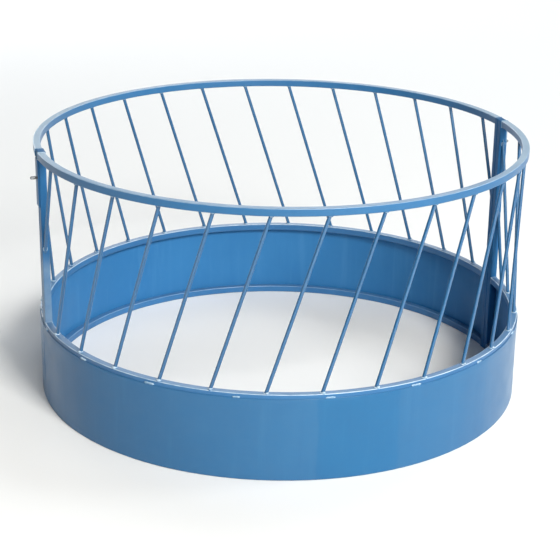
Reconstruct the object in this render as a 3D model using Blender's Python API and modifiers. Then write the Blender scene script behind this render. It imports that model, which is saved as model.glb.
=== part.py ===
"""Circular sheep feeder in two pinned halves, as separate welded pieces.

Frame: metres, +Z up, origin on the floor at the centre of the ring.  The two
joints between the halves lie on the X axis: the back half fills +Y, the front
half fills -Y and is the same assembly turned by half a turn about Z.  Angles
are degrees, counter-clockwise from +X, and are given for the back half.
"""
import math

import bmesh
import bpy
from mathutils import Matrix, Vector

# ---------------------------------------------------------------- dimensions
RING_R = 0.850            # outside of the skirt sheet and of the top rail
RAIL_TOP = 0.896          # height of the feeder
RIM_TOP = 0.295           # top of the tube that edges the skirt
TUBE = 0.025              # square tube, outside
WALL = 0.002              # tube wall
SHEET_T = 0.002           # skirt sheet
SHEET_TOP = 0.280         # the sheet laps the rim tube and stops below its top
SHEET_BOTTOM = 0.001
FIT = 0.0003              # gap kept between pieces that are welded together
HALF_GAP = 0.0015         # gap between the two halves' posts
STEPS = 48                # flats in each half circle

BAR_D = 0.012             # round bars between rim and rail
BAR_R = 0.8365            # radius at which both bar ends stand
BAR_SIDES = 12
BAR_FIRST = 9.6           # foot of the first full bar
BAR_PITCH = 12.0          # from bar to bar
BAR_LEAN = 12.6           # how far a bar's top is turned past its foot
FULL_BARS = 13            # bars that reach from rim to rail
LAST_FOOT = 167.0         # foot of the bar that ends on the end post
LAST_END_Z = 0.789
LOWER_FOOT = 173.0        # foot of the short lower bar
LOWER_END_Z = 0.523
UPPER_TOP = 9.4           # head of the short upper bar
UPPER_END_Z = 0.578

POST_OUT = 0.8468         # outer face of the posts, just inside the sheet
CAP_T = 0.002             # plate that closes a post's top

PLATE_T = 0.004           # lap plate on the outside of the end post
PLATE_BOTTOM = 0.705
PLATE_TOP = 0.8705
PLATE_HALF_W = 0.024
PLATE_CORNER = 0.004

PIN_Z = 0.808             # locking pin, radial
PIN_D = 0.010
PIN_HOLE_D = 0.011
PIN_INSIDE = 0.8250       # radius of its inner tip, inside the post
PIN_OUTSIDE = 0.8545      # radius of its outer end
LOOP_WIRE_D = 0.0045
LOOP_LENGTH = 0.021
LOOP_HEIGHT = 0.011

PEG_Z = 0.060             # locating peg, along Y
PEG_D = 0.014
PEG_HOLE_D = 0.016
PEG_REACH = 0.0195

PAINT = (0.070, 0.227, 0.456)
STEEL = (0.210, 0.235, 0.250)

# derived
RAIL_BOTTOM = RAIL_TOP - TUBE
SKIRT_TUBE_OUT = RING_R - SHEET_T - FIT
POST_IN = POST_OUT - TUBE
POST_X = (POST_OUT + POST_IN) / 2.0
POST_NEAR = HALF_GAP / 2.0          # post face at the joint
POST_FAR = POST_NEAR + TUBE         # post face that the rails butt on
POST_Y = (POST_NEAR + POST_FAR) / 2.0
RAIL_END = POST_FAR + FIT
POST_TOP = RAIL_TOP - CAP_T - FIT

# ------------------------------------------------------------------ the scene
for old in list(bpy.data.objects):
    bpy.data.objects.remove(old, do_unlink=True)

scene = bpy.context.scene
parts = bpy.data.collections.new("sheep_feeder")
cutters = bpy.data.collections.new("cutters")
scene.collection.children.link(parts)
scene.collection.children.link(cutters)
cutters.hide_render = True


def make_material(name, colour, roughness, metallic):
    mat = bpy.data.materials.new(name)
    mat.use_nodes = True
    bsdf = mat.node_tree.nodes["Principled BSDF"]
    bsdf.inputs["Base Color"].default_value = (*colour, 1.0)
    bsdf.inputs["Roughness"].default_value = roughness
    bsdf.inputs["Metallic"].default_value = metallic
    mat.diffuse_color = (*colour, 1.0)
    return mat


def new_object(name, mesh, collection=parts):
    obj = bpy.data.objects.new(name, mesh)
    collection.objects.link(obj)
    return obj


def mesh_from_bmesh(name, bm):
    bmesh.ops.recalc_face_normals(bm, faces=bm.faces[:])
    mesh = bpy.data.meshes.new(name)
    bm.to_mesh(mesh)
    bm.free()
    return mesh


def box_mesh(name, low, high):
    """A box between two corners."""
    bm = bmesh.new()
    bmesh.ops.create_cube(bm, size=1.0)
    low, high = Vector(low), Vector(high)
    size = high - low
    bmesh.ops.scale(bm, vec=size, verts=bm.verts[:])
    bmesh.ops.translate(bm, vec=(low + high) / 2.0, verts=bm.verts[:])
    return mesh_from_bmesh(name, bm)


def rod_mesh(name, start, end, diameter, sides, chamfer=0.0):
    """A round rod from start to end, with an optional chamfer at its end."""
    start, end = Vector(start), Vector(end)
    axis = end - start
    bm = bmesh.new()
    bmesh.ops.create_cone(bm, cap_ends=True, segments=sides, radius1=diameter / 2.0,
                          radius2=diameter / 2.0, depth=axis.length)
    if chamfer > 0.0:
        rim = [e for e in bm.edges if all(v.co.z > 0.0 for v in e.verts)]
        bmesh.ops.bevel(bm, geom=rim, offset=chamfer, segments=1, affect="EDGES")
    turn = axis.to_track_quat("Z", "Y").to_matrix().to_4x4()
    bmesh.ops.transform(bm, matrix=Matrix.Translation((start + end) / 2.0) @ turn,
                        verts=bm.verts[:])
    return mesh_from_bmesh(name, bm)


def cutter(name, mesh):
    obj = new_object(name, mesh, cutters)
    obj.hide_render = True
    obj.display_type = "WIRE"
    return obj


def baked(obj, name):
    """The object's evaluated mesh, shaded smooth with its real corners sharp."""
    graph = bpy.context.evaluated_depsgraph_get()
    mesh = bpy.data.meshes.new_from_object(obj.evaluated_get(graph))
    mesh.name = name
    mesh.shade_smooth()
    mesh.set_sharp_from_angle(angle=math.radians(35.0))
    old = obj.data
    bpy.data.objects.remove(obj, do_unlink=True)
    if old.users == 0:
        bpy.data.meshes.remove(old)
    return mesh


def subtract(obj, tool):
    cut = obj.modifiers.new("cut_" + tool.name, "BOOLEAN")
    cut.operation = "DIFFERENCE"
    cut.solver = "EXACT"
    cut.object = tool


def turned_half(obj):
    turn = obj.modifiers.new("half_circle", "SCREW")
    turn.axis = "Z"
    turn.angle = math.pi
    turn.steps = STEPS
    turn.render_steps = STEPS
    turn.screw_offset = 0.0
    turn.use_merge_vertices = False
    turn.merge_threshold = 0.0001


def rolled_tube_mesh(name, outer, top, tool):
    """Square tube rolled to a half circle, its ends cut flat for the posts."""
    inner, bottom = outer - TUBE, top - TUBE
    loop = [(outer, 0.0, top), (outer, 0.0, bottom), (inner, 0.0, bottom), (inner, 0.0, top)]
    profile = bpy.data.meshes.new(name + "_profile")
    profile.from_pydata(loop, [(0, 1), (1, 2), (2, 3), (3, 0)], [])
    obj = new_object(name + "_build", profile)
    turned_half(obj)
    wall = obj.modifiers.new("wall", "SOLIDIFY")
    wall.thickness = WALL
    wall.offset = -1.0
    wall.use_even_offset = True
    subtract(obj, tool)
    return baked(obj, name)


def rolled_sheet_mesh(name, tool):
    """Flat sheet rolled to a half circle."""
    profile = bpy.data.meshes.new(name + "_profile")
    profile.from_pydata([(RING_R, 0.0, SHEET_TOP), (RING_R, 0.0, SHEET_BOTTOM)], [(0, 1)], [])
    obj = new_object(name + "_build", profile)
    turned_half(obj)
    wall = obj.modifiers.new("sheet", "SOLIDIFY")
    wall.thickness = SHEET_T
    wall.offset = -1.0
    wall.use_even_offset = True
    subtract(obj, tool)
    return baked(obj, name)


def on_ring(angle, height, radius=BAR_R):
    a = math.radians(angle)
    return Vector((radius * math.cos(a), radius * math.sin(a), height))


def slanted_bar_mesh(name, foot, head, cuts):
    """A straight round bar through two points, cut off by planes.

    Each cut is (point, direction): what lies beyond it along direction goes.
    """
    axis = (head - foot).normalized()
    start, end = foot - axis * 0.06, head + axis * 0.06
    bm = bmesh.new()
    bmesh.ops.create_cone(bm, cap_ends=True, segments=BAR_SIDES, radius1=BAR_D / 2.0,
                          radius2=BAR_D / 2.0, depth=(end - start).length)
    turn = axis.to_track_quat("Z", "Y").to_matrix().to_4x4()
    bmesh.ops.transform(bm, matrix=Matrix.Translation((start + end) / 2.0) @ turn,
                        verts=bm.verts[:])
    for point, direction in cuts:
        made = bmesh.ops.bisect_plane(bm, geom=bm.verts[:] + bm.edges[:] + bm.faces[:],
                                      plane_co=point, plane_no=direction, clear_outer=True)
        rim = [g for g in made["geom_cut"] if isinstance(g, bmesh.types.BMEdge)]
        bmesh.ops.contextual_create(bm, geom=rim)
    mesh = mesh_from_bmesh(name, bm)
    mesh.shade_smooth()
    mesh.set_sharp_from_angle(angle=math.radians(45.0))
    return mesh


def post_mesh(name, x, tools):
    """Square tube standing on the floor, open at both ends."""
    bm = bmesh.new()
    bmesh.ops.create_cube(bm, size=1.0)
    bmesh.ops.scale(bm, vec=(TUBE, TUBE, POST_TOP), verts=bm.verts[:])
    bmesh.ops.translate(bm, vec=(x, POST_Y, POST_TOP / 2.0), verts=bm.verts[:])
    ends = [f for f in bm.faces if abs(f.normal.z) > 0.9]
    bmesh.ops.delete(bm, geom=ends, context="FACES_ONLY")
    shell = bpy.data.meshes.new(name + "_shell")
    bm.to_mesh(shell)
    bm.free()
    obj = new_object(name + "_build", shell)
    wall = obj.modifiers.new("wall", "SOLIDIFY")
    wall.thickness = WALL
    wall.offset = -1.0
    wall.use_even_offset = True
    for tool in tools:
        subtract(obj, tool)
    return baked(obj, name)


def plate_mesh(name, tool):
    """Flat plate with rounded corners on the outside of the end post."""
    inner = -(POST_OUT + FIT)
    bm = bmesh.new()
    bmesh.ops.create_cube(bm, size=1.0)
    bmesh.ops.scale(bm, vec=(PLATE_T, 2.0 * PLATE_HALF_W, PLATE_TOP - PLATE_BOTTOM),
                    verts=bm.verts[:])
    bmesh.ops.translate(bm, vec=(inner - PLATE_T / 2.0, 0.0, (PLATE_TOP + PLATE_BOTTOM) / 2.0),
                        verts=bm.verts[:])
    corners = [e for e in bm.edges
               if abs(e.verts[0].co.x - e.verts[1].co.x) > PLATE_T * 0.9]
    bmesh.ops.bevel(bm, geom=corners, offset=PLATE_CORNER, segments=3, affect="EDGES",
                    profile=0.5)
    blank = mesh_from_bmesh(name + "_blank", bm)
    obj = new_object(name + "_build", blank)
    subtract(obj, tool)
    return baked(obj, name)


def loop_mesh(name, side):
    """Wire bent to a long loop, standing upright and pointing outward."""
    r = LOOP_WIRE_D / 2.0
    half_h = LOOP_HEIGHT / 2.0 - r
    start = PIN_OUTSIDE + FIT + r
    length = LOOP_LENGTH - 2.0 * r
    curve = bpy.data.curves.new(name + "_wire", "CURVE")
    curve.dimensions = "3D"
    curve.bevel_depth = r
    curve.bevel_resolution = 2
    points = []
    turns = 8
    for i in range(turns + 1):
        a = -math.pi / 2.0 + math.pi * i / turns
        points.append((start + length - half_h + half_h * math.cos(a), half_h * math.sin(a)))
    for i in range(turns + 1):
        a = math.pi / 2.0 + math.pi * i / turns
        points.append((start + half_h + half_h * math.cos(a), half_h * math.sin(a)))
    spline = curve.splines.new("POLY")
    spline.points.add(len(points) - 1)
    for point, (x, z) in zip(spline.points, points):
        point.co = (side * x, -side * -POST_Y, PIN_Z + z, 1.0)
    spline.use_cyclic_u = True
    obj = new_object(name + "_build", curve)
    graph = bpy.context.evaluated_depsgraph_get()
    mesh = bpy.data.meshes.new_from_object(obj.evaluated_get(graph))
    mesh.name = name
    bpy.data.objects.remove(obj, do_unlink=True)
    bpy.data.curves.remove(curve)
    mesh.shade_smooth()
    return mesh


# -------------------------------------------------------------------- cutters
tube_ends = cutter("tube_end_cutter", box_mesh("tube_end_cutter", (-1.0, -RAIL_END, -0.1),
                                               (1.0, RAIL_END, 1.0)))
sheet_ends = cutter("sheet_end_cutter", box_mesh("sheet_end_cutter", (-1.0, -POST_NEAR, -0.1),
                                                 (1.0, POST_NEAR, 1.0)))
post_pin_hole = cutter("post_pin_hole", rod_mesh(
    "post_pin_hole", (POST_X, POST_Y, PIN_Z), (0.87, POST_Y, PIN_Z), PIN_HOLE_D, 20))
plate_pin_hole = cutter("plate_pin_hole", rod_mesh(
    "plate_pin_hole", (-0.80, -POST_Y, PIN_Z), (-0.87, -POST_Y, PIN_Z), PIN_HOLE_D, 20))
peg_hole = cutter("peg_hole", rod_mesh(
    "peg_hole", (POST_X, -0.01, PEG_Z), (POST_X, 0.01, PEG_Z), PEG_HOLE_D, 20))

# --------------------------------------------------- meshes shared by the halves
UP, DOWN = Vector((0.0, 0.0, 1.0)), Vector((0.0, 0.0, -1.0))
RIM_CUT = (Vector((0.0, 0.0, RIM_TOP + FIT)), DOWN)
RAIL_CUT = (Vector((0.0, 0.0, RAIL_BOTTOM - FIT)), UP)
POST_CUT = (Vector((0.0, RAIL_END, 0.0)), Vector((0.0, -1.0, 0.0)))
CONTACT = math.degrees(math.asin((RAIL_END + BAR_D / 2.0) / BAR_R))   # bar touching a post

meshes = {
    "top_rail": rolled_tube_mesh("top_rail", RING_R, RAIL_TOP, tube_ends),
    "rim_tube": rolled_tube_mesh("rim_tube", SKIRT_TUBE_OUT, RIM_TOP, tube_ends),
    "base_tube": rolled_tube_mesh("base_tube", SKIRT_TUBE_OUT, TUBE, tube_ends),
    "skirt_sheet": rolled_sheet_mesh("skirt_sheet", sheet_ends),
    "start_post": post_mesh("start_post", POST_X, [post_pin_hole, peg_hole]),
    "end_post": post_mesh("end_post", -POST_X, []),
    "start_post_cap": box_mesh("start_post_cap", (POST_IN, POST_NEAR, POST_TOP + FIT),
                               (POST_OUT, POST_FAR, RAIL_TOP)),
    "end_post_cap": box_mesh("end_post_cap", (-POST_OUT, POST_NEAR, POST_TOP + FIT),
                             (-POST_IN, POST_FAR, RAIL_TOP)),
    "lap_plate": plate_mesh("lap_plate", plate_pin_hole),
    "locating_peg": rod_mesh("locating_peg", (-POST_X, POST_NEAR - FIT, PEG_Z),
                             (-POST_X, -PEG_REACH, PEG_Z), PEG_D, 20, chamfer=0.0025),
    "bar": slanted_bar_mesh("bar", on_ring(0.0, RIM_TOP), on_ring(BAR_LEAN, RAIL_BOTTOM),
                            [RIM_CUT, RAIL_CUT]),
    "last_bar": slanted_bar_mesh("last_bar", on_ring(LAST_FOOT, RIM_TOP),
                                 on_ring(180.0 - CONTACT, LAST_END_Z), [RIM_CUT, POST_CUT]),
    "lower_short_bar": slanted_bar_mesh("lower_short_bar", on_ring(LOWER_FOOT, RIM_TOP),
                                        on_ring(180.0 - CONTACT, LOWER_END_Z),
                                        [RIM_CUT, POST_CUT]),
    "upper_short_bar": slanted_bar_mesh("upper_short_bar", on_ring(CONTACT, UPPER_END_Z),
                                        on_ring(UPPER_TOP, RAIL_BOTTOM),
                                        [POST_CUT, RAIL_CUT]),
}


def piece(name, mesh, parent, turn=0.0, colour=PAINT, roughness=0.35, metallic=0.0):
    obj = new_object(name, mesh)
    obj.parent = parent
    obj.rotation_euler = (0.0, 0.0, math.radians(turn))
    if not mesh.materials:
        mesh.materials.append(None)
    obj.material_slots[0].link = "OBJECT"
    obj.material_slots[0].material = make_material(name, colour, roughness, metallic)
    return obj


def build_half(prefix, turn):
    """One welded half of the ring, hung on an empty at the ring's centre."""
    hub = bpy.data.objects.new(prefix + "_half", None)
    hub.empty_display_size = 0.2
    parts.objects.link(hub)
    hub.rotation_euler = (0.0, 0.0, math.radians(turn))
    for part_name in ("top_rail", "rim_tube", "base_tube", "skirt_sheet", "start_post",
                      "end_post", "start_post_cap", "end_post_cap", "lap_plate",
                      "locating_peg", "upper_short_bar", "lower_short_bar"):
        piece(prefix + "_" + part_name, meshes[part_name], hub)
    for i in range(FULL_BARS):
        piece("%s_bar_%02d" % (prefix, i + 1), meshes["bar"], hub, BAR_FIRST + BAR_PITCH * i)
    piece("%s_bar_%02d" % (prefix, FULL_BARS + 1), meshes["last_bar"], hub)
    return hub


def build_pin(prefix, side):
    """Locking pin and its wire loop.  side is +1 at +X and -1 at -X."""
    hub = bpy.data.objects.new(prefix + "_pin", None)
    hub.empty_display_size = 0.05
    hub.location = (side * PIN_OUTSIDE, side * POST_Y, PIN_Z)
    parts.objects.link(hub)
    shank = rod_mesh(prefix + "_pin_shank", (side * PIN_OUTSIDE, side * POST_Y, PIN_Z),
                     (side * PIN_INSIDE, side * POST_Y, PIN_Z), PIN_D, 20, chamfer=0.0015)
    shank.shade_smooth()
    shank.set_sharp_from_angle(angle=math.radians(35.0))
    loop = loop_mesh(prefix + "_pin_loop", side)
    home = Matrix.Translation(-Vector(hub.location))
    for name, mesh in ((prefix + "_pin_shank", shank), (prefix + "_pin_loop", loop)):
        mesh.transform(home)
        piece(name, mesh, hub, colour=STEEL, roughness=0.45, metallic=0.7)


build_half("back", 0.0)
build_half("front", 180.0)
build_pin("left", -1.0)
build_pin("right", 1.0)
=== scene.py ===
"""Looks of the round sheep feeder: rolled square tube, sheet skirt, slanted bars,
weld beads, enamel paint and the two locking pins, built round the fixed frame.

Row frame: metres, +Z up, origin on the floor at the ring's centre, joints on the
X axis.  Everything for a half is modelled for the back half (+Y) and turned by
half a turn for the front half.
"""
import math

import bmesh
import bpy
from mathutils import Matrix, Vector, noise


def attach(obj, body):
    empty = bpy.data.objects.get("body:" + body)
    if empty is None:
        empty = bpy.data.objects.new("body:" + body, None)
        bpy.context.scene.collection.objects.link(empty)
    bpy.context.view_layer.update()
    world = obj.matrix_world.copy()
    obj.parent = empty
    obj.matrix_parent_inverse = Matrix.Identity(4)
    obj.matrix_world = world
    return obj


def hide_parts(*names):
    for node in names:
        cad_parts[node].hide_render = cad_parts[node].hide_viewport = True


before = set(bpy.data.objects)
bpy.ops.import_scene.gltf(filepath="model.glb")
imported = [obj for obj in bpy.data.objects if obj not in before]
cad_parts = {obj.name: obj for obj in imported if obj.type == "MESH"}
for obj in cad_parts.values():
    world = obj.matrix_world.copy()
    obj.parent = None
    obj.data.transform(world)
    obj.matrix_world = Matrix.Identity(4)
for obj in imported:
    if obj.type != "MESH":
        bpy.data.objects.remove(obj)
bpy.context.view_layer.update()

# ------------------------------------------------------------------ dimensions
RING_R = 0.850
RAIL_TOP = 0.896
RIM_TOP = 0.295
TUBE = 0.025
TUBE_CORNER = 0.0032
WALL = 0.002
SHEET_T = 0.002
SHEET_TOP = 0.280
SHEET_BOTTOM = 0.001
RAIL_BOTTOM = RAIL_TOP - TUBE
SKIRT_TUBE_OUT = 0.8477

BAR_D = 0.012
BAR_R = 0.8365
BAR_FIRST, BAR_PITCH, BAR_LEAN, FULL_BARS = 9.6, 12.0, 12.6, 13
LAST_FOOT, LAST_END_Z = 167.0, 0.789
LOWER_FOOT, LOWER_END_Z = 173.0, 0.523
UPPER_TOP, UPPER_END_Z = 9.4, 0.578

POST_OUT, POST_IN = 0.8468, 0.8218
POST_X = 0.8343
POST_NEAR, POST_FAR = 0.00075, 0.02575
POST_Y = (POST_NEAR + POST_FAR) / 2.0
CAP_T = 0.002
POST_TOP = RAIL_TOP - CAP_T
CONTACT = math.degrees(math.asin((POST_FAR + 0.0003 + BAR_D / 2.0) / BAR_R))

PLATE_X0, PLATE_X1 = 0.8471, 0.8511
PLATE_BOTTOM, PLATE_TOP, PLATE_HALF_W = 0.705, 0.8705, 0.024
PIN_Z, PIN_D, PIN_HOLE_D = 0.808, 0.010, 0.011
PIN_INSIDE, PIN_OUTSIDE = 0.8250, 0.8545
LOOP_WIRE_D, LOOP_LENGTH, LOOP_HEIGHT = 0.0045, 0.021, 0.011
PEG_Z, PEG_D, PEG_HOLE_D, PEG_REACH = 0.060, 0.014, 0.016, 0.0195

HALVES = (("back", 0.0), ("front", math.pi))


# --------------------------------------------------------------- mesh building
class Builder:
    """Collects vertices and faces of one piece."""

    def __init__(self):
        self.verts = []
        self.faces = []

    def add(self, points):
        start = len(self.verts)
        self.verts.extend(Vector(p) for p in points)
        return list(range(start, start + len(points)))

    def bridge(self, ring_a, ring_b, closed=True):
        n = len(ring_a)
        for i in range(n if closed else n - 1):
            j = (i + 1) % n
            self.faces.append((ring_a[i], ring_a[j], ring_b[j], ring_b[i]))

    def loft(self, rings, caps=True, closed=False):
        """Joins rings of points, each a closed section, end to end."""
        ids = [self.add(ring) for ring in rings]
        for a, b in zip(ids, ids[1:]):
            self.bridge(a, b)
        if closed:
            self.bridge(ids[-1], ids[0])
        elif caps:
            self.faces.append(tuple(reversed(ids[0])))
            self.faces.append(tuple(ids[-1]))

    def mesh(self, name, angle=0.0, sharp=38.0):
        turn = Matrix.Rotation(angle, 4, "Z")
        mesh = bpy.data.meshes.new(name)
        mesh.from_pydata([turn @ v for v in self.verts], [], self.faces)
        bm = bmesh.new()
        bm.from_mesh(mesh)
        bmesh.ops.recalc_face_normals(bm, faces=bm.faces[:])
        bm.to_mesh(mesh)
        bm.free()
        mesh.shade_smooth()
        mesh.set_sharp_from_angle(angle=math.radians(sharp))
        return mesh


def add_piece(name, mesh, material, body, nodes=()):
    obj = bpy.data.objects.new(name, mesh)
    bpy.context.scene.collection.objects.link(obj)
    mesh.materials.clear()
    mesh.materials.append(material)
    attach(obj, body)
    if nodes:
        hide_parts(*nodes)
    return obj


def rounded_box_section(a0, a1, b0, b1, radius, steps=4, guard=0.0006):
    """Closed outline of a rounded rectangle, with guard points beside each corner."""
    points = []
    corners = ((a1 - radius, b1 - radius, 0), (a0 + radius, b1 - radius, 90),
               (a0 + radius, b0 + radius, 180), (a1 - radius, b0 + radius, 270))
    for ca, cb, start in corners:
        s = math.radians(start)
        e = math.radians(start + 90)
        first = (ca + radius * math.cos(s), cb + radius * math.sin(s))
        last = (ca + radius * math.cos(e), cb + radius * math.sin(e))
        points.append((first[0] + guard * math.sin(s), first[1] - guard * math.cos(s)))
        for i in range(steps + 1):
            t = math.radians(start + 90.0 * i / steps)
            points.append((ca + radius * math.cos(t), cb + radius * math.sin(t)))
        points.append((last[0] - guard * math.sin(e), last[1] + guard * math.cos(e)))
    return points


def arc_rings(section, y_end, steps, shape=None):
    """Sections (r, z) along the half circle; both ends are cut at y = y_end."""
    r_min = min(p[0] for p in section)
    first = math.asin(y_end / r_min) + math.radians(0.15)
    rings = []
    for i in range(-1, steps + 2):
        ring = []
        for r, z in section:
            if i in (-1, steps + 1):
                a = math.asin(y_end / r)
                if i > 0:
                    a = math.pi - a
            else:
                a = first + (math.pi - 2.0 * first) * i / steps
            rr = r + (shape(a, r, z) if shape else 0.0)
            ring.append((rr * math.cos(a), rr * math.sin(a), z))
        rings.append(ring)
    return rings


def on_ring(angle, height, radius=BAR_R):
    a = math.radians(angle)
    return Vector((radius * math.cos(a), radius * math.sin(a), height))


def bar_rings(foot, head, foot_cut, head_cut, sides=20, sink=0.0009):
    """Round bar between two planes; each cut is (point, normal)."""
    axis = (head - foot).normalized()
    side = axis.orthogonal().normalized()
    other = axis.cross(side)
    rings = []
    for k in range(9):
        ring = []
        for i in range(sides):
            t = 2.0 * math.pi * i / sides
            p = foot + (side * math.cos(t) + other * math.sin(t)) * (BAR_D / 2.0)
            spans = []
            for point, normal in (foot_cut, head_cut):
                spans.append((point - p).dot(normal) / axis.dot(normal))
            low, high = spans[0] - sink, spans[1] + sink
            ring.append(p + axis * (low + (high - low) * k / 8.0))
        rings.append(ring)
    return rings


def bead(build, path, radius, closed=False, seed=0.0, ripple=0.10, pitch=0.0028, sides=8,
         rough=0.22):
    """A weld bead along a path: a lumpy rod with the ripple of its passes."""
    n = len(path)
    length = 0.0
    run = [0.0]
    for a, b in zip(path, path[1:]):
        length += (b - a).length
        run.append(length)
    rings = []
    normal = None
    for i, p in enumerate(path):
        before = path[(i - 1) % n] if closed or i > 0 else p
        after = path[(i + 1) % n] if closed or i < n - 1 else p
        along = (after - before).normalized()
        if normal is None:
            normal = along.orthogonal().normalized()
        normal = (normal - along * normal.dot(along)).normalized()
        other = along.cross(normal)
        r = radius * (1.0 + ripple * math.sin(2.0 * math.pi * run[i] / pitch + seed))
        r *= 1.0 + rough * noise.noise(p * 260.0 + Vector((seed, 0.0, 0.0)))
        if not closed:
            near = min(run[i], length - run[i]) / (radius * 1.3)
            if near < 1.0:
                r *= math.sqrt(max(0.02, 1.0 - (1.0 - near) ** 2))
        ring = []
        for k in range(sides):
            t = 2.0 * math.pi * k / sides
            bump = 1.0 + 0.10 * noise.noise(p * 420.0 + Vector((t, seed, 3.0)))
            ring.append(p + (normal * math.cos(t) + other * math.sin(t)) * r * bump)
        rings.append(ring)
    build.loft(rings, caps=not closed, closed=closed)


def circle_path(centre, radius, u, v, count, start=0.0, stop=360.0, wave=0.0, seed=0.0):
    points = []
    full = abs(stop - start - 360.0) < 1e-6
    for i in range(count if full else count + 1):
        t = math.radians(start + (stop - start) * i / count)
        r = radius * (1.0 + wave * noise.noise(Vector((math.cos(t), math.sin(t), seed)) * 1.3))
        points.append(centre + u * (r * math.cos(t)) + v * (r * math.sin(t)))
    return points


def straight_path(a, b, step=0.0009):
    a, b = Vector(a), Vector(b)
    count = max(2, int((b - a).length / step))
    return [a.lerp(b, i / count) for i in range(count + 1)]


def boolean_cut(mesh, cutters, name):
    """mesh with the cutter meshes taken away, through real modifiers."""
    body = bpy.data.objects.new(name + "_build", mesh)
    bpy.context.scene.collection.objects.link(body)
    tools = []
    for i, cutter in enumerate(cutters):
        tool = bpy.data.objects.new("%s_tool_%d" % (name, i), cutter)
        bpy.context.scene.collection.objects.link(tool)
        tools.append(tool)
        cut = body.modifiers.new("cut_%d" % i, "BOOLEAN")
        cut.operation = "DIFFERENCE"
        cut.solver = "EXACT"
        cut.object = tool
    graph = bpy.context.evaluated_depsgraph_get()
    result = bpy.data.meshes.new_from_object(body.evaluated_get(graph))
    result.name = name
    for obj in [body] + tools:
        data = obj.data
        bpy.data.objects.remove(obj, do_unlink=True)
        bpy.data.meshes.remove(data)
    result.shade_smooth()
    result.set_sharp_from_angle(angle=math.radians(38.0))
    return result


def rod(start, end, radius, sides=28, round_start=0.0, round_end=0.0):
    """Round rod with optionally rounded ends, as a Builder."""
    start, end = Vector(start), Vector(end)
    axis = (end - start).normalized()
    side = axis.orthogonal().normalized()
    other = axis.cross(side)
    stations = []
    if round_start > 0.0:
        for i in range(5):
            t = math.pi / 2.0 * i / 4.0
            stations.append((round_start * (1.0 - math.sin(t)),
                             radius - round_start * (1.0 - math.cos(math.pi / 2.0 - t))))
        stations.sort()
    else:
        stations.append((0.0, radius))
    length = (end - start).length
    if round_end > 0.0:
        tail = []
        for i in range(5):
            t = math.pi / 2.0 * i / 4.0
            tail.append((length - round_end * (1.0 - math.sin(t)),
                         radius - round_end * (1.0 - math.cos(math.pi / 2.0 - t))))
        stations += sorted(tail)
    else:
        stations.append((length, radius))
    made = Builder()
    made.loft([[start + axis * s + (side * math.cos(2 * math.pi * k / sides)
                                    + other * math.sin(2 * math.pi * k / sides)) * r
                for k in range(sides)] for s, r in stations])
    return made


# ------------------------------------------------------------------- materials
class Nodes:
    """Small helper that keeps the node code short."""

    def __init__(self, name):
        self.mat = bpy.data.materials.new(name)
        self.mat.use_nodes = True
        self.tree = self.mat.node_tree
        self.tree.nodes.clear()
        self.out = self.new("ShaderNodeOutputMaterial")
        self.bsdf = self.new("ShaderNodeBsdfPrincipled")
        self.link(self.bsdf.outputs["BSDF"], self.out.inputs["Surface"])
        self.where = self.new("ShaderNodeTexCoord").outputs["Object"]

    def new(self, kind, **values):
        node = self.tree.nodes.new(kind)
        for key, value in values.items():
            setattr(node, key, value)
        return node

    def link(self, a, b):
        self.tree.links.new(a, b)

    def put(self, socket, value):
        if isinstance(value, bpy.types.NodeSocket):
            self.link(value, socket)
        else:
            socket.default_value = value

    def noise(self, scale, detail=3.0, rough=0.5, vector=None, distortion=0.0):
        n = self.new("ShaderNodeTexNoise")
        n.inputs["Scale"].default_value = scale
        n.inputs["Detail"].default_value = detail
        n.inputs["Roughness"].default_value = rough
        n.inputs["Distortion"].default_value = distortion
        self.link(vector if vector is not None else self.where, n.inputs["Vector"])
        return n.outputs["Fac"]

    def math(self, op, a, b=0.0, c=None, clamp=False):
        n = self.new("ShaderNodeMath", operation=op, use_clamp=clamp)
        self.put(n.inputs[0], a)
        self.put(n.inputs[1], b)
        if c is not None:
            self.put(n.inputs[2], c)
        return n.outputs[0]

    def remap(self, value, low, high, out_low, out_high, smooth=False):
        n = self.new("ShaderNodeMapRange")
        n.interpolation_type = "SMOOTHSTEP" if smooth else "LINEAR"
        n.clamp = True
        self.put(n.inputs["Value"], value)
        for key, v in (("From Min", low), ("From Max", high), ("To Min", out_low),
                       ("To Max", out_high)):
            n.inputs[key].default_value = v
        return n.outputs["Result"]

    def mix(self, factor, a, b, blend="MIX"):
        n = self.new("ShaderNodeMix", data_type="RGBA", blend_type=blend)
        self.put(n.inputs["Factor"], factor)
        for socket, value in ((n.inputs[6], a), (n.inputs[7], b)):
            if isinstance(value, bpy.types.NodeSocket):
                self.link(value, socket)
            else:
                socket.default_value = (*value, 1.0)
        return n.outputs[2]

    def split(self, vector):
        n = self.new("ShaderNodeSeparateXYZ")
        self.link(vector, n.inputs[0])
        return n.outputs

    def join(self, x, y, z):
        n = self.new("ShaderNodeCombineXYZ")
        for socket, value in zip(n.inputs, (x, y, z)):
            self.put(socket, value)
        return n.outputs[0]

    def bump(self, height, strength, distance, normal=None):
        n = self.new("ShaderNodeBump")
        n.inputs["Strength"].default_value = strength
        n.inputs["Distance"].default_value = distance
        self.link(height, n.inputs["Height"])
        if normal is not None:
            self.link(normal, n.inputs["Normal"])
        return n.outputs["Normal"]


BLUE = (0.030, 0.148, 0.335)
BLUE_DEEP = (0.023, 0.124, 0.297)
BLUE_PALE = (0.048, 0.180, 0.372)
# pale grey for the painted reflection of the ground
GROUND_REFLECTION = (0.330, 0.350, 0.360)
# pale blue for dust on the top faces that also stands in as painted sky sheen, and for the painted ground
# reflection low on the posts
DUST_SHEEN = (0.300, 0.410, 0.520)
# near-white blue for the painted highlight on the tubes' top corners
CORNER_GLINT = (0.520, 0.640, 0.740)
PRIMER = (0.060, 0.045, 0.038)


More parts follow.
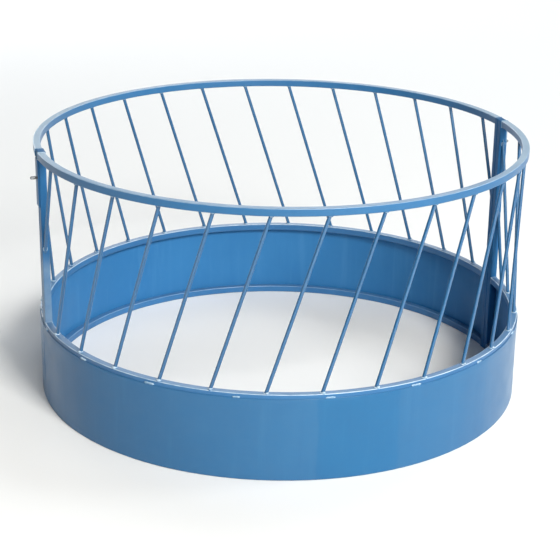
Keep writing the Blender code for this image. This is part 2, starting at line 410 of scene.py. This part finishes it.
def enamel(name, base=BLUE, deep=BLUE_DEEP, pale=BLUE_PALE, rough=(0.29, 0.36), streaks=0.0,
           dust_sheen=0.30, edge=0.0, peel=0.03, chips=0.0, bands=(), gloss=0.5, ground_sheen=0.0,
           mottle=0.09, ends=0.0, seed=0.0):
    """Glossy sprayed enamel: soft cloudy tone, fine orange peel, dusty top faces that also carry painted
    sky sheen.

    Band entries give an azimuth in degrees and an amount, the later ones a softness too: how much pale
    grey, a painted reflection of the ground, lies on the paint from there to the next one."""
    m = Nodes(name)
    x, y, z = m.split(m.where)
    shifted = m.join(m.math("ADD", x, seed), m.math("ADD", y, seed * 0.7), z)
    cloud = m.noise(2.1, 3.0, 0.55, shifted)
    grain = m.noise(34.0, 2.0, 0.5, shifted)
    colour = m.mix(m.remap(cloud, 0.34, 0.66, 0.0, 1.0, True), deep, base)
    colour = m.mix(m.remap(grain, 0.42, 0.72, 0.0, mottle, True), colour, pale)
    angle = m.math("ARCTAN2", y, x)
    if streaks > 0.0:
        run = m.join(m.math("MULTIPLY", angle, 7.6), 0.0, m.math("MULTIPLY", z, 0.7))
        line = m.noise(2.6, 4.0, 0.55, run)
        colour = m.mix(m.remap(line, 0.50, 0.74, 0.0, streaks, True), colour, pale)
        colour = m.mix(m.remap(line, 0.48, 0.28, 0.0, streaks, True), colour, deep)
    # painted reflection of the ground, laid on as pale grey by azimuth
    if bands:
        turn = m.math("ADD", m.math("MULTIPLY", angle, 180.0 / math.pi), 360.0)
        turn = m.math("MODULO", turn, 360.0)
        wobble = m.math("MULTIPLY", m.math("SUBTRACT", m.noise(9.0, 3.0, 0.5, shifted), 0.5), 1.6)
        turn = m.math("ADD", turn, wobble)
        reflection_amount = bands[0][1]
        for at, amount, soft in bands[1:]:
            step = m.remap(turn, at - soft, at + soft, 0.0, 1.0, True)
            mixed = m.new("ShaderNodeMix", data_type="FLOAT")
            m.put(mixed.inputs["Factor"], step)
            m.put(mixed.inputs[2], reflection_amount)
            m.put(mixed.inputs[3], amount)
            reflection_amount = mixed.outputs[0]
        reflection_amount = m.math("MULTIPLY", reflection_amount, m.remap(m.noise(21.0, 4.0, 0.6, shifted), 0.25, 0.75,
                                               0.75, 1.25))
        colour = m.mix(reflection_amount, colour, GROUND_REFLECTION)
    if ground_sheen > 0.0:
        # painted reflection of the bright ground: paler between the skirt and chest height
        low = m.math("MULTIPLY", m.remap(z, 0.56, 0.46, 0.0, 1.0, True),
                     m.remap(z, 0.25, 0.31, 0.0, 1.0, True))
        low = m.math("MULTIPLY", low, m.remap(m.noise(13.0, 4.0, 0.6, shifted), 0.30, 0.65,
                                              0.6 * ground_sheen, ground_sheen, True))
        colour = m.mix(low, colour, DUST_SHEEN)
    geometry = m.new("ShaderNodeNewGeometry")
    up = m.split(geometry.outputs["Normal"])[2]
    amount = dust_sheen
    if ends > 0.0:
        # painted sky sheen: more pale on the rail top towards the joints
        near = m.math("COSINE", m.math("ADD", angle, math.radians(18.0)))
        near = m.remap(m.math("MULTIPLY", near, near), 0.50, 0.92, 0.0, ends, True)
        amount = m.math("ADD", near, dust_sheen)
    # dust on the upward faces, also standing in as painted sky sheen
    dust_sheen_mask = m.math("MULTIPLY", m.remap(up, 0.80, 0.99, 0.0, 1.0, True), amount)
    dust_sheen_mask = m.math("MULTIPLY", dust_sheen_mask,
                     m.remap(m.noise(11.0, 4.0, 0.55, shifted), 0.30, 0.70, 0.80, 1.0, True))
    colour = m.mix(dust_sheen_mask, colour, DUST_SHEEN)
    if edge > 0.0:
        # painted highlight: paler colour along the rounded top corners of the tubes, where light glints
        corner = m.math("MULTIPLY", m.remap(up, 0.22, 0.55, 0.0, 1.0, True),
                        m.remap(up, 0.90, 0.995, 1.0, 0.0, True))
        corner = m.math("MULTIPLY", corner, m.remap(m.noise(26.0, 4.0, 0.6, shifted), 0.30, 0.60,
                                                    0.55 * edge, edge, True))
        colour = m.mix(corner, colour, CORNER_GLINT)
    rough_map = m.remap(m.noise(11.0, 2.0, 0.5, shifted), 0.30, 0.70, rough[0], rough[1], True)
    rough_map = m.math("ADD", rough_map, m.math("MULTIPLY", dust_sheen_mask, 0.20))
    normal = m.bump(m.noise(640.0, 1.0, 0.5, shifted), peel, 0.0003)
    normal = m.bump(m.noise(9.0, 1.0, 0.5, shifted), 0.05, 0.0010, normal)
    if chips > 0.0:
        spot = m.remap(m.noise(120.0, 4.0, 0.7, shifted), 0.735 - chips, 0.75 - chips, 0.0, 1.0)
        colour = m.mix(spot, colour, PRIMER)
        rough_map = m.math("ADD", rough_map, m.math("MULTIPLY", spot, 0.35))
    m.link(colour, m.bsdf.inputs["Base Color"])
    m.link(rough_map, m.bsdf.inputs["Roughness"])
    m.link(normal, m.bsdf.inputs["Normal"])
    m.bsdf.inputs["IOR"].default_value = 1.5
    m.bsdf.inputs["Specular IOR Level"].default_value = gloss
    return m.mat


def steel(name, seed=0.0):
    """Dull, slightly rusted pin steel."""
    m = Nodes(name)
    rust = m.remap(m.noise(95.0, 6.0, 0.68), 0.52, 0.66, 0.0, 0.75, True)
    tone = m.mix(m.remap(m.noise(40.0, 4.0), 0.35, 0.65, 0.0, 1.0), (0.150, 0.165, 0.175),
                 (0.275, 0.290, 0.300))
    m.link(m.mix(rust, tone, (0.105, 0.068, 0.045)), m.bsdf.inputs["Base Color"])
    m.link(m.remap(rust, 0.0, 0.75, 0.90, 0.15), m.bsdf.inputs["Metallic"])
    m.link(m.remap(rust, 0.0, 0.75, 0.38, 0.72), m.bsdf.inputs["Roughness"])
    m.link(m.bump(m.noise(420.0, 4.0, 0.6), 0.25, 0.0004), m.bsdf.inputs["Normal"])
    return m.mat


# painted reflection of the ground on the outside of the sheet, as pale grey by azimuth
SHEET_BANDS = ((0.0, 0.012), (186.0, 0.022, 3.0), (212.0, 0.034, 6.0), (260.6, 0.0, 0.35),
               (278.9, 0.030, 0.6), (306.5, 0.055, 0.5), (345.0, 0.014, 4.0))
# lit and shaded copies of the sheet paint: the outside is darker (painted shade), the inside paler (painted
# light)
OUTER = (0.011, 0.122, 0.284)
OUTER_DEEP = (0.009, 0.111, 0.266)
OUTER_PALE = (0.020, 0.140, 0.310)
INNER = (0.034, 0.168, 0.375)
INNER_DEEP = (0.028, 0.150, 0.350)
INNER_PALE = (0.048, 0.190, 0.400)

# the rail: painted ground reflection by azimuth, painted highlight on its top corners, painted sky sheen on
# its top, more towards the joints
PAINT_RAIL = enamel("paint_rail", (0.020, 0.130, 0.298), (0.016, 0.117, 0.274),
                    (0.034, 0.154, 0.330), dust_sheen=0.42, edge=0.40, ends=0.50,
                    bands=((0.0, 0.0), (183.0, 0.050, 4.0), (224.0, 0.0, 14.0)), seed=0.0)
# the rim: strong painted highlight on its top corners
PAINT_RIM = enamel("paint_rim", dust_sheen=0.18, edge=0.95, seed=1.7)
PAINT_SHEET = enamel("paint_sheet", OUTER, OUTER_DEEP, OUTER_PALE, streaks=0.45, dust_sheen=0.2,
                     bands=SHEET_BANDS, seed=3.1)
PAINT_INSIDE = enamel("paint_sheet_inside", INNER, INNER_DEEP, INNER_PALE, streaks=0.60, dust_sheen=0.2,
                      rough=(0.30, 0.42), gloss=0.14, seed=5.2)
# the base tube: light painted highlight on its top corners; the chips are real
PAINT_BASE = enamel("paint_base", dust_sheen=0.12, edge=0.30, seed=4.9, chips=0.002)
# the bars: a darker copy of the blue, painted shade
PAINT_BAR = enamel("paint_bar", (0.025, 0.117, 0.256), (0.020, 0.103, 0.234),
                   (0.038, 0.140, 0.290), dust_sheen=0.0, rough=(0.12, 0.18), gloss=0.85, seed=6.3)
# the posts: a darker copy of the blue, painted shade
PAINT_POST = enamel("paint_post", (0.022, 0.124, 0.296), (0.018, 0.110, 0.268),
                    (0.034, 0.146, 0.325), dust_sheen=0.15, rough=(0.30, 0.40), gloss=0.10, seed=8.8)
# posts with the painted reflection of the ground low down
PAINT_POST_SHEEN = enamel("paint_post_sheen", (0.024, 0.132, 0.310), (0.019, 0.116, 0.280),
                    (0.038, 0.155, 0.340), dust_sheen=0.15, rough=(0.30, 0.40), gloss=0.22, ground_sheen=0.52,
                    seed=8.8)
PAINT_CAP = enamel("paint_cap", (0.016, 0.108, 0.262), (0.013, 0.098, 0.240),
                   (0.026, 0.128, 0.290), dust_sheen=0.0, rough=(0.50, 0.62), gloss=0.10, seed=9.9)
# weld beads and stitch welds: pale base and pale flecks, painted highlight
PAINT_WELD_HIGHLIGHT = enamel("paint_weld_highlight", base=(0.230, 0.370, 0.520), pale=(0.520, 0.620, 0.700),
                    dust_sheen=0.30, edge=0.80, rough=(0.10, 0.18), peel=0.12, mottle=0.50,
                    seed=12.4)
PAINT_STITCH_HIGHLIGHT = enamel("paint_stitch_highlight", base=(0.130, 0.275, 0.440), deep=(0.060, 0.200, 0.380),
                      pale=(0.520, 0.620, 0.700), dust_sheen=0.20, edge=0.60, rough=(0.10, 0.18),
                      peel=0.12, mottle=0.70, seed=15.1)
PIN_STEEL = steel("pin_steel")


# ----------------------------------------------------------------- rolled parts
TUBE_END = POST_FAR + 0.0001

STITCHES = [4.0 + 19.8 * i for i in range(9)]        # stitch welds on the sheet's top edge
STITCH_HALF = 1.05                                   # degrees


def sheet_shape(a, r, z):
    """Radial set of the rolled sheet: flat on the tubes, a little loose between welds."""
    deg = math.degrees(a)
    nearest = min(abs(deg - s) for s in STITCHES)
    loose = max(0.0, min(1.0, (nearest - STITCH_HALF) / 6.0))
    loose = loose * loose * (3.0 - 2.0 * loose)
    top = max(0.0, min(1.0, (z - 0.246) / (SHEET_TOP - 0.246)))
    free = math.sin(math.pi * max(0.0, min(1.0, (z - 0.026) / (0.262 - 0.026))))
    p = Vector((math.cos(a) * 2.2, math.sin(a) * 2.2, z * 1.6))
    wander = noise.noise(p * 1.7) * 0.0016 + noise.noise(p * 4.1) * 0.0005
    return 0.0006 * loose * top ** 1.5 + free * wander


def sheet_section():
    """Thin upright section with rounded top and bottom edges."""
    half = SHEET_T / 2.0
    mid = RING_R - half
    points = []
    rows = 15
    low, high = SHEET_BOTTOM + half, SHEET_TOP - half
    for i in range(rows + 1):
        points.append((mid + half, low + (high - low) * i / rows))
    for i in range(1, 6):
        t = math.pi * i / 6.0
        points.append((mid + half * math.cos(t), high + half * math.sin(t)))
    for i in range(rows + 1):
        points.append((mid - half, high - (high - low) * i / rows))
    for i in range(1, 6):
        t = math.pi + math.pi * i / 6.0
        points.append((mid + half * math.cos(t), low + half * math.sin(t)))
    return points


def rolled_tube(outer, top, steps=300):
    made = Builder()
    section = rounded_box_section(outer - TUBE, outer, top - TUBE, top, TUBE_CORNER)
    made.loft(arc_rings(section, TUBE_END, steps))
    return made


def upright_tube(name, x, y, angle, holes):
    """Square post: rounded tube with a real wall, open below, pierced by the given rods."""
    shell = Builder()
    outline = rounded_box_section(x - TUBE / 2, x + TUBE / 2, y - TUBE / 2, y + TUBE / 2,
                                  TUBE_CORNER)
    shell.loft([[(a, b, z) for a, b in outline] for z in (0.0, 0.001, 0.30, 0.60, POST_TOP)])
    bore = Builder()
    inner = rounded_box_section(x - TUBE / 2 + WALL, x + TUBE / 2 - WALL,
                                y - TUBE / 2 + WALL, y + TUBE / 2 - WALL, TUBE_CORNER - WALL + 0.0004,
                                guard=0.0002)
    bore.loft([[(a, b, z) for a, b in inner] for z in (-0.02, POST_TOP + 0.02)])
    cutters = [bore.mesh(name + "_bore", angle)]
    for i, (start, end, diameter) in enumerate(holes):
        cutters.append(rod(start, end, diameter / 2.0, 24).mesh("%s_hole_%d" % (name, i), angle))
    return boolean_cut(shell.mesh(name + "_shell", angle), cutters, name)


def rounded_slab(a0, a1, b0, b1, c0, c1, radius, edge, axis):
    """Flat plate with rounded corners and softened edges; axis is its thickness axis."""
    made = Builder()
    rings = []
    for c, inset in ((c0, edge), (c0 + edge * 0.3, edge * 0.3), (c0 + edge, 0.0),
                     (c1 - edge, 0.0), (c1 - edge * 0.3, edge * 0.3), (c1, edge)):
        outline = rounded_box_section(a0 + inset, a1 - inset, b0 + inset, b1 - inset,
                                      max(radius - inset, 0.0004), 5, 0.0003)
        if axis == "Z":
            rings.append([(a, b, c) for a, b in outline])
        else:
            rings.append([(c, a, b) for a, b in outline])
    made.loft(rings)
    return made


def build_half(prefix, angle):
    body = prefix + "_half"

    def piece(name, mesh, material, *nodes):
        return add_piece("%s_%s_finish" % (prefix, name), mesh, material, body,
                         ["%s_%s" % (prefix, n) for n in nodes])

    # rolled tubes and the sheet
    piece("top_rail", rolled_tube(RING_R, RAIL_TOP).mesh("rail", angle), PAINT_RAIL, "top_rail")
    piece("rim_tube", rolled_tube(SKIRT_TUBE_OUT, RIM_TOP).mesh("rim", angle), PAINT_RIM,
          "rim_tube")
    piece("base_tube", rolled_tube(SKIRT_TUBE_OUT, TUBE).mesh("base", angle), PAINT_BASE,
          "base_tube")
    sheet = Builder()
    sheet.loft(arc_rings(sheet_section(), POST_NEAR, 420, sheet_shape))
    sheet = piece("skirt_sheet", sheet.mesh("sheet", angle, 60.0), PAINT_SHEET, "skirt_sheet")
    sheet.data.materials.append(PAINT_INSIDE)
    for face in sheet.data.polygons:
        if face.normal.x * face.center.x + face.normal.y * face.center.y < 0.0:
            face.material_index = 1

    # posts, caps, plate, peg
    holes = [((POST_X, POST_Y, PIN_Z), (0.87, POST_Y, PIN_Z), PIN_HOLE_D),
             ((POST_X, -0.01, PEG_Z), (POST_X, 0.01, PEG_Z), PEG_HOLE_D)]
    # the posts at the joint on -X get the painted reflection of the ground low down
    piece("start_post", upright_tube(prefix + "_start_post_mesh", POST_X, POST_Y, angle, holes),
          PAINT_POST_SHEEN if angle else PAINT_POST, "start_post")
    piece("end_post", upright_tube(prefix + "_end_post_mesh", -POST_X, POST_Y, angle, []),
          PAINT_POST if angle else PAINT_POST_SHEEN, "end_post")
    for name, x in (("start_post_cap", POST_X), ("end_post_cap", -POST_X)):
        cap = rounded_slab(x - TUBE / 2, x + TUBE / 2, POST_NEAR, POST_FAR, POST_TOP - 0.0003,
                           RAIL_TOP, TUBE_CORNER, 0.0006, "Z")
        piece(name, cap.mesh(name, angle), PAINT_CAP, name)
    plate = rounded_slab(-PLATE_HALF_W, PLATE_HALF_W, PLATE_BOTTOM, PLATE_TOP, -PLATE_X1,
                         -PLATE_X0, 0.0045, 0.0007, "X")
    hole = rod((-0.80, -POST_Y, PIN_Z), (-0.87, -POST_Y, PIN_Z), PIN_HOLE_D / 2.0, 24)
    piece("lap_plate", boolean_cut(plate.mesh("plate_blank", angle),
                                   [hole.mesh("plate_hole", angle)], prefix + "_plate_mesh"),
          PAINT_POST, "lap_plate")
    peg = rod((-POST_X, POST_NEAR + 0.0005, PEG_Z), (-POST_X, -PEG_REACH, PEG_Z), PEG_D / 2.0, 32,
              0.0, 0.003)
    piece("locating_peg", peg.mesh("peg", angle), PAINT_POST, "locating_peg")

    # bars
    up, across = Vector((0.0, 0.0, 1.0)), Vector((0.0, 1.0, 0.0))
    rim_cut = (Vector((0.0, 0.0, RIM_TOP)), up)
    rail_cut = (Vector((0.0, 0.0, RAIL_BOTTOM)), up)
    post_cut = (Vector((0.0, POST_FAR, 0.0)), across)
    bars = [("bar_%02d" % (i + 1), on_ring(BAR_FIRST + BAR_PITCH * i, RIM_TOP),
             on_ring(BAR_FIRST + BAR_PITCH * i + BAR_LEAN, RAIL_BOTTOM), rim_cut, rail_cut)
            for i in range(FULL_BARS)]
    bars.append(("bar_%02d" % (FULL_BARS + 1), on_ring(LAST_FOOT, RIM_TOP),
                 on_ring(180.0 - CONTACT, LAST_END_Z), rim_cut, post_cut))
    bars.append(("lower_short_bar", on_ring(LOWER_FOOT, RIM_TOP),
                 on_ring(180.0 - CONTACT, LOWER_END_Z), rim_cut, post_cut))
    bars.append(("upper_short_bar", on_ring(CONTACT, UPPER_END_Z),
                 on_ring(UPPER_TOP, RAIL_BOTTOM), post_cut, rail_cut))
    for name, foot, head, foot_cut, head_cut in bars:
        made = Builder()
        made.loft(bar_rings(foot, head, foot_cut, head_cut))
        piece(name, made.mesh(name, angle), PAINT_BAR, name)

    # weld beads at both ends of every bar
    feet, heads = Builder(), Builder()
    x_axis = Vector((1.0, 0.0, 0.0))
    for i, (name, foot, head, foot_cut, head_cut) in enumerate(bars):
        seed = 1.0 + 3.7 * i + (50.0 if angle else 0.0)
        axis = (head - foot).normalized()
        for build, end, cut, sign in ((feet, foot, foot_cut, 1.0), (heads, head, head_cut, -1.0)):
            point, normal = cut
            at = end + axis * ((point - end).dot(normal) / axis.dot(normal))
            if abs(normal.z) > 0.5:
                out = Vector((at.x, at.y, 0.0)).normalized()
                u, v = out, up.cross(out)
                lift = up * (0.0007 * sign)
            else:
                u, v = x_axis, up
                lift = across * 0.0007
            ring = circle_path(at + lift, BAR_D / 2.0 + 0.0004, u, v, 40, wave=0.05, seed=seed)
            bead(build, ring, 0.0024, closed=True, seed=seed, ripple=0.10, pitch=0.0031)
            if abs(normal.z) > 0.5:
                # the pass starts and ends in a thicker lump on the outside of the ring
                lump = 25.0 + 40.0 * noise.noise(Vector((seed, 2.0, 7.0)))
                side = circle_path(at + lift * 2.0, BAR_D / 2.0 + 0.0016, u, v, 14, lump - 50.0,
                                   lump + 50.0)
                bead(build, side, 0.0048 if sign > 0 else 0.0030, seed=seed + 1.3, ripple=0.08,
                     sides=12)
    piece("foot_welds", feet.mesh("feet", angle, 80.0), PAINT_WELD_HIGHLIGHT)
    piece("head_welds", heads.mesh("heads", angle, 80.0), PAINT_WELD_HIGHLIGHT)

    # stitch welds along the sheet's top edge
    stitches = Builder()
    for i, at in enumerate(STITCHES):
        length = STITCH_HALF * (0.8 + 0.4 * (i % 3) / 2.0)
        path = []
        for k in range(31):
            a = math.radians(at + length * (2.0 * k / 30.0 - 1.0))
            r = SKIRT_TUBE_OUT + 0.0008
            drift = 0.0011 * noise.noise(Vector((k * 0.21, 3.1 * i, 5.0 + angle)))
            path.append(Vector((r * math.cos(a), r * math.sin(a), SHEET_TOP + 0.0026 + drift)))
        bead(stitches, path, 0.0034, seed=2.0 + 1.9 * i + angle, ripple=0.07, pitch=0.0043,
             sides=12, rough=0.50)
    piece("stitch_welds", stitches.mesh("stitches", angle, 80.0), PAINT_STITCH_HIGHLIGHT)

    # welds of the rolled tubes, the plate and the sheet on the posts
    joints = Builder()
    for sign in (1.0, -1.0):
        for outer, top in ((RING_R, RAIL_TOP), (SKIRT_TUBE_OUT, RIM_TOP), (SKIRT_TUBE_OUT, TUBE)):
            xo = math.sqrt(outer ** 2 - POST_FAR ** 2)
            xi = math.sqrt((outer - TUBE) ** 2 - POST_FAR ** 2)
            low = top - TUBE
            edge = 0.0004
            outline = rounded_box_section(xi - edge, xo + edge, low - edge, top + edge,
                                          TUBE_CORNER, 5, 0.0006)
            loop = []
            for (a0, b0), (a1, b1) in zip(outline, outline[1:] + outline[:1]):
                n = max(1, int(math.hypot(a1 - a0, b1 - b0) / 0.0009))
                for k in range(n):
                    t = k / n
                    loop.append(Vector((sign * (a0 + (a1 - a0) * t), POST_FAR + 0.0004,
                                        b0 + (b1 - b0) * t)))
            loop = [p for p in loop if p.z > 0.0012]
            closed = low > 0.01
            if not closed:
                cut = max(range(len(loop)), key=lambda k: (loop[k] - loop[k - 1]).length)
                loop = loop[cut:] + loop[:cut]
            bead(joints, loop, 0.0011, closed=closed, seed=5.0 + sign + top, ripple=0.12,
                 pitch=0.0030, sides=6)
    for z0, z1 in ((PLATE_BOTTOM + 0.004, PLATE_BOTTOM + 0.052), (PLATE_TOP - 0.052, PLATE_TOP - 0.004)):
        bead(joints, straight_path((-PLATE_X0 - 0.0006, PLATE_HALF_W + 0.0004, z0),
                                   (-PLATE_X0 - 0.0006, PLATE_HALF_W + 0.0004, z1)),
             0.0015, seed=z0 * 10.0, ripple=0.15, pitch=0.0030)
    for z0 in (PLATE_BOTTOM, PLATE_TOP):
        bead(joints, straight_path((-PLATE_X0 - 0.0006, 0.004, z0), (-PLATE_X0 - 0.0006, 0.020, z0)),
             0.0013, seed=z0 * 7.0, ripple=0.15, pitch=0.0030)
    piece("joint_welds", joints.mesh("joints", angle, 80.0), PAINT_WELD_HIGHLIGHT)


def build_pin(prefix, side):
    body = prefix + "_pin"
    y = side * POST_Y
    shank = rod((side * PIN_INSIDE, y, PIN_Z), (side * PIN_OUTSIDE, y, PIN_Z), PIN_D / 2.0, 36,
                0.0018, 0.0008)
    add_piece(prefix + "_pin_shank_finish", shank.mesh(prefix + "_shank"), PIN_STEEL, body,
              [prefix + "_pin_shank"])
    r = LOOP_WIRE_D / 2.0
    half = LOOP_HEIGHT / 2.0 - r
    start = PIN_OUTSIDE + 0.0003 + r
    stop = PIN_OUTSIDE + 0.0003 + LOOP_LENGTH - r
    path = []
    for k in range(17):
        t = -math.pi / 2.0 + math.pi * k / 16
        path.append((stop - half + half * math.cos(t), half * math.sin(t)))
    for k in range(1, 8):
        path.append((stop - half + (start + half - stop + half) * k / 8.0, half))
    for k in range(17):
        t = math.pi / 2.0 + math.pi * k / 16
        path.append((start + half + half * math.cos(t), half * math.sin(t)))
    for k in range(1, 8):
        path.append((start + half + (stop - start - 2.0 * half) * k / 8.0, -half))
    rings = []
    n = len(path)
    for i, (x, z) in enumerate(path):
        x0, z0 = path[i - 1]
        x1, z1 = path[(i + 1) % n]
        along = Vector((x1 - x0, 0.0, z1 - z0)).normalized()
        flat = Vector((-along.z, 0.0, along.x))
        ring = []
        for k in range(14):
            t = 2.0 * math.pi * k / 14
            q = Vector((x, 0.0, PIN_Z + z)) + flat * (r * math.cos(t)) + Vector((0.0, r * math.sin(t), 0.0))
            ring.append((side * q.x, y + q.y, q.z))
        rings.append(ring)
    loop = Builder()
    loop.loft(rings, closed=True)
    add_piece(prefix + "_pin_loop_finish", loop.mesh(prefix + "_loop"), PIN_STEEL, body,
              [prefix + "_pin_loop"])
    weld = Builder()
    centre = Vector((side * (PIN_OUTSIDE + 0.0004), y, PIN_Z))
    bead(weld, circle_path(centre, 0.0030, Vector((0.0, 1.0, 0.0)), Vector((0.0, 0.0, 1.0)), 26),
         0.0014, closed=True, seed=4.0, ripple=0.12, pitch=0.0026)
    add_piece(prefix + "_pin_weld_finish", weld.mesh(prefix + "_weld", 0.0, 80.0), PIN_STEEL, body)


for prefix, angle in HALVES:
    build_half(prefix, angle)
build_pin("left", -1.0)
build_pin("right", 1.0)

# carried-over CAD nodes are all replaced; any that would show gets the post paint
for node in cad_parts.values():
    for slot in node.material_slots:
        slot.material = PAINT_POST

# ----------------------------------------------------------------------- stage
SHOT_TURN = Matrix.Rotation(math.radians(-18.0), 4, "Z")


def from_shot(x, y, z):
    """A point given with the camera on -Y, in the row frame."""
    return SHOT_TURN @ Vector((x, y, z))


floor_build = Builder()
rings = [[(0.02 * math.cos(2 * math.pi * k / 64), 0.02 * math.sin(2 * math.pi * k / 64), 0.0)
          for k in range(64)]]
for radius in (2.0, 5.0, 12.0, 30.0):
    rings.append([(radius * math.cos(2 * math.pi * k / 64), radius * math.sin(2 * math.pi * k / 64),
                   0.0) for k in range(64)])
ids = [floor_build.add(ring) for ring in rings]
for a, b in zip(ids, ids[1:]):
    floor_build.bridge(a, b)
floor_build.faces.append(tuple(ids[0]))
floor_mesh = floor_build.mesh("floor")
floor_mesh.transform(Matrix.Translation((0.0, 0.0, -0.0002)))
if floor_mesh.polygons[0].normal.z < 0.0:
    floor_mesh.flip_normals()
floor = bpy.data.objects.new("floor", floor_mesh)
bpy.context.scene.collection.objects.link(floor)
ground = Nodes("floor_paper")
ground.bsdf.inputs["Base Color"].default_value = (0.86, 0.86, 0.86, 1.0)
ground.bsdf.inputs["Roughness"].default_value = 0.9
ground.bsdf.inputs["Specular IOR Level"].default_value = 0.1
floor_mesh.materials.append(ground.mat)

world = bpy.data.worlds.new("studio")
bpy.context.scene.world = world
world.use_nodes = True
world.node_tree.nodes["Background"].inputs["Color"].default_value = (0.88, 0.94, 1.0, 1.0)
world.node_tree.nodes["Background"].inputs["Strength"].default_value = 0.05


def softbox(name, place, aim, width, height, power, colour=(1.0, 1.0, 1.0)):
    data = bpy.data.lights.new(name, "AREA")
    data.shape = "RECTANGLE"
    data.size, data.size_y = width, height
    data.energy = power
    data.color = colour
    obj = bpy.data.objects.new(name, data)
    bpy.context.scene.collection.objects.link(obj)
    place, aim = from_shot(*place), from_shot(*aim)
    obj.location = place
    obj.rotation_mode = "QUATERNION"
    obj.rotation_quaternion = (aim - place).to_track_quat("-Z", "Y")
    return obj


WARM, COOL = (1.0, 0.985, 0.935), (0.93, 0.97, 1.0)
for name, azimuth, elevation, size, power, colour in (
        ("key", 300.0, 37.0, 3.4, 1640.0, WARM), ("front", 284.0, 30.0, 5.2, 560.0, WARM),
        ("front_low", 284.0, 12.0, 4.0, 240.0, WARM), ("right_front", 332.0, 35.0, 5.2, 150.0, WARM),
        ("right", 8.0, 28.0, 3.0, 420.0, COOL), ("right_back", 55.0, 35.0, 5.2, 380.0, COOL),
        ("back", 90.0, 19.0, 5.0, 250.0, COOL), ("left_back", 120.0, 14.0, 6.0, 720.0, COOL)):
    a, e = math.radians(azimuth), math.radians(elevation)
    softbox(name, (13.0 * math.cos(e) * math.cos(a), 13.0 * math.cos(e) * math.sin(a),
                   0.4 + 13.0 * math.sin(e)), (0.0, 0.0, 0.4), size, size, power, colour)

# The camera stands at the photograph's viewing angle.
CAM_D, CAM_Z = 6.01459 * RING_R, 2.65649 * RING_R
PITCH, YAW, ROLL = 0.35595, 0.00056, 0.01594
ahead = Vector((math.sin(YAW) * math.cos(PITCH), math.cos(YAW) * math.cos(PITCH), -math.sin(PITCH)))
level = Vector((math.cos(YAW), -math.sin(YAW), 0.0))
upright = level.cross(ahead)
right = level * math.cos(ROLL) + upright * math.sin(ROLL)
top = upright * math.cos(ROLL) - level * math.sin(ROLL)
pose = Matrix(((right.x, top.x, -ahead.x, 0.0), (right.y, top.y, -ahead.y, -CAM_D),
               (right.z, top.z, -ahead.z, CAM_Z), (0.0, 0.0, 0.0, 1.0)))
cam_data = bpy.data.cameras.new("camera")
cam_data.sensor_width = 36.0
cam_data.lens = 1522.8 * 36.0 / 560.0
cam_data.clip_start, cam_data.clip_end = 0.1, 100.0
cam = bpy.data.objects.new("camera", cam_data)
bpy.context.scene.collection.objects.link(cam)
cam.matrix_world = SHOT_TURN @ pose
bpy.context.scene.camera = cam
bpy.context.scene.view_settings.view_transform = "Standard"
bpy.context.scene.view_settings.look = "None"
